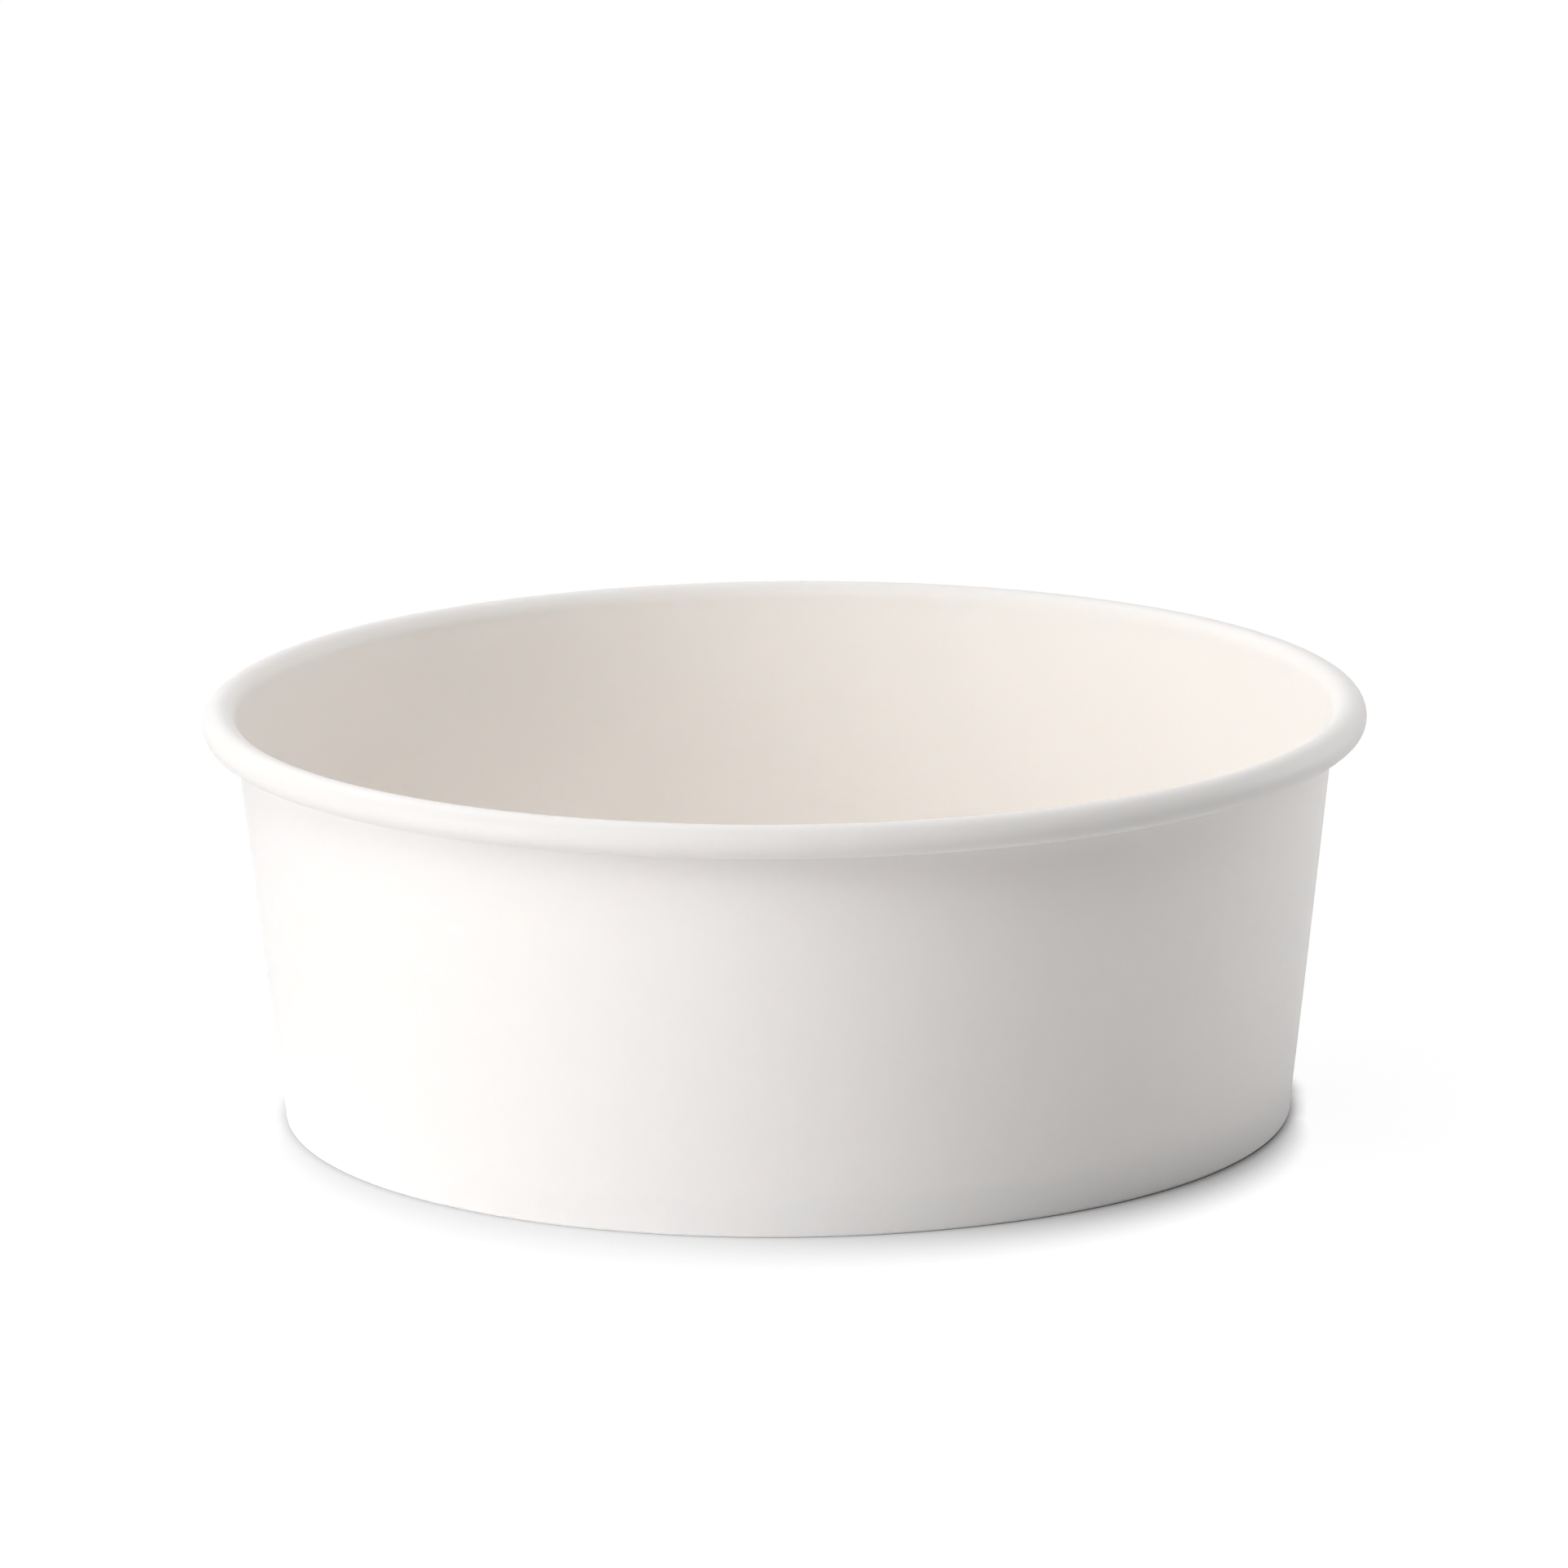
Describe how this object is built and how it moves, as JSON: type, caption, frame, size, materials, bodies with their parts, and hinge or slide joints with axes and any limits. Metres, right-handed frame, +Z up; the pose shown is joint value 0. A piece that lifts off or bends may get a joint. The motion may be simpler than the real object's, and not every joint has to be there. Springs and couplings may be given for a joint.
{
  "type": "paper salad bowl",
  "caption": "Round flared paperboard bowl with a rolled rim, a lapped and glued side seam, and a recessed base disc held in a folded foot.",
  "frame": {"origin": "centre of the foot ring, at the level of the table that the bowl stands on", "axes": "+Z up along the bowl's axis, -Y towards the side that the picture shows, +X to the right of it; the side seam lies beside +X"},
  "size_m": [0.185, 0.185, 0.067],
  "materials": {
    "wall_board": "matte",
    "base_board": "matte"
  },
  "bodies": {
    "root": {"sidewall": "wall_board", "base_disc": "base_board"}
  },
  "joints": []
}
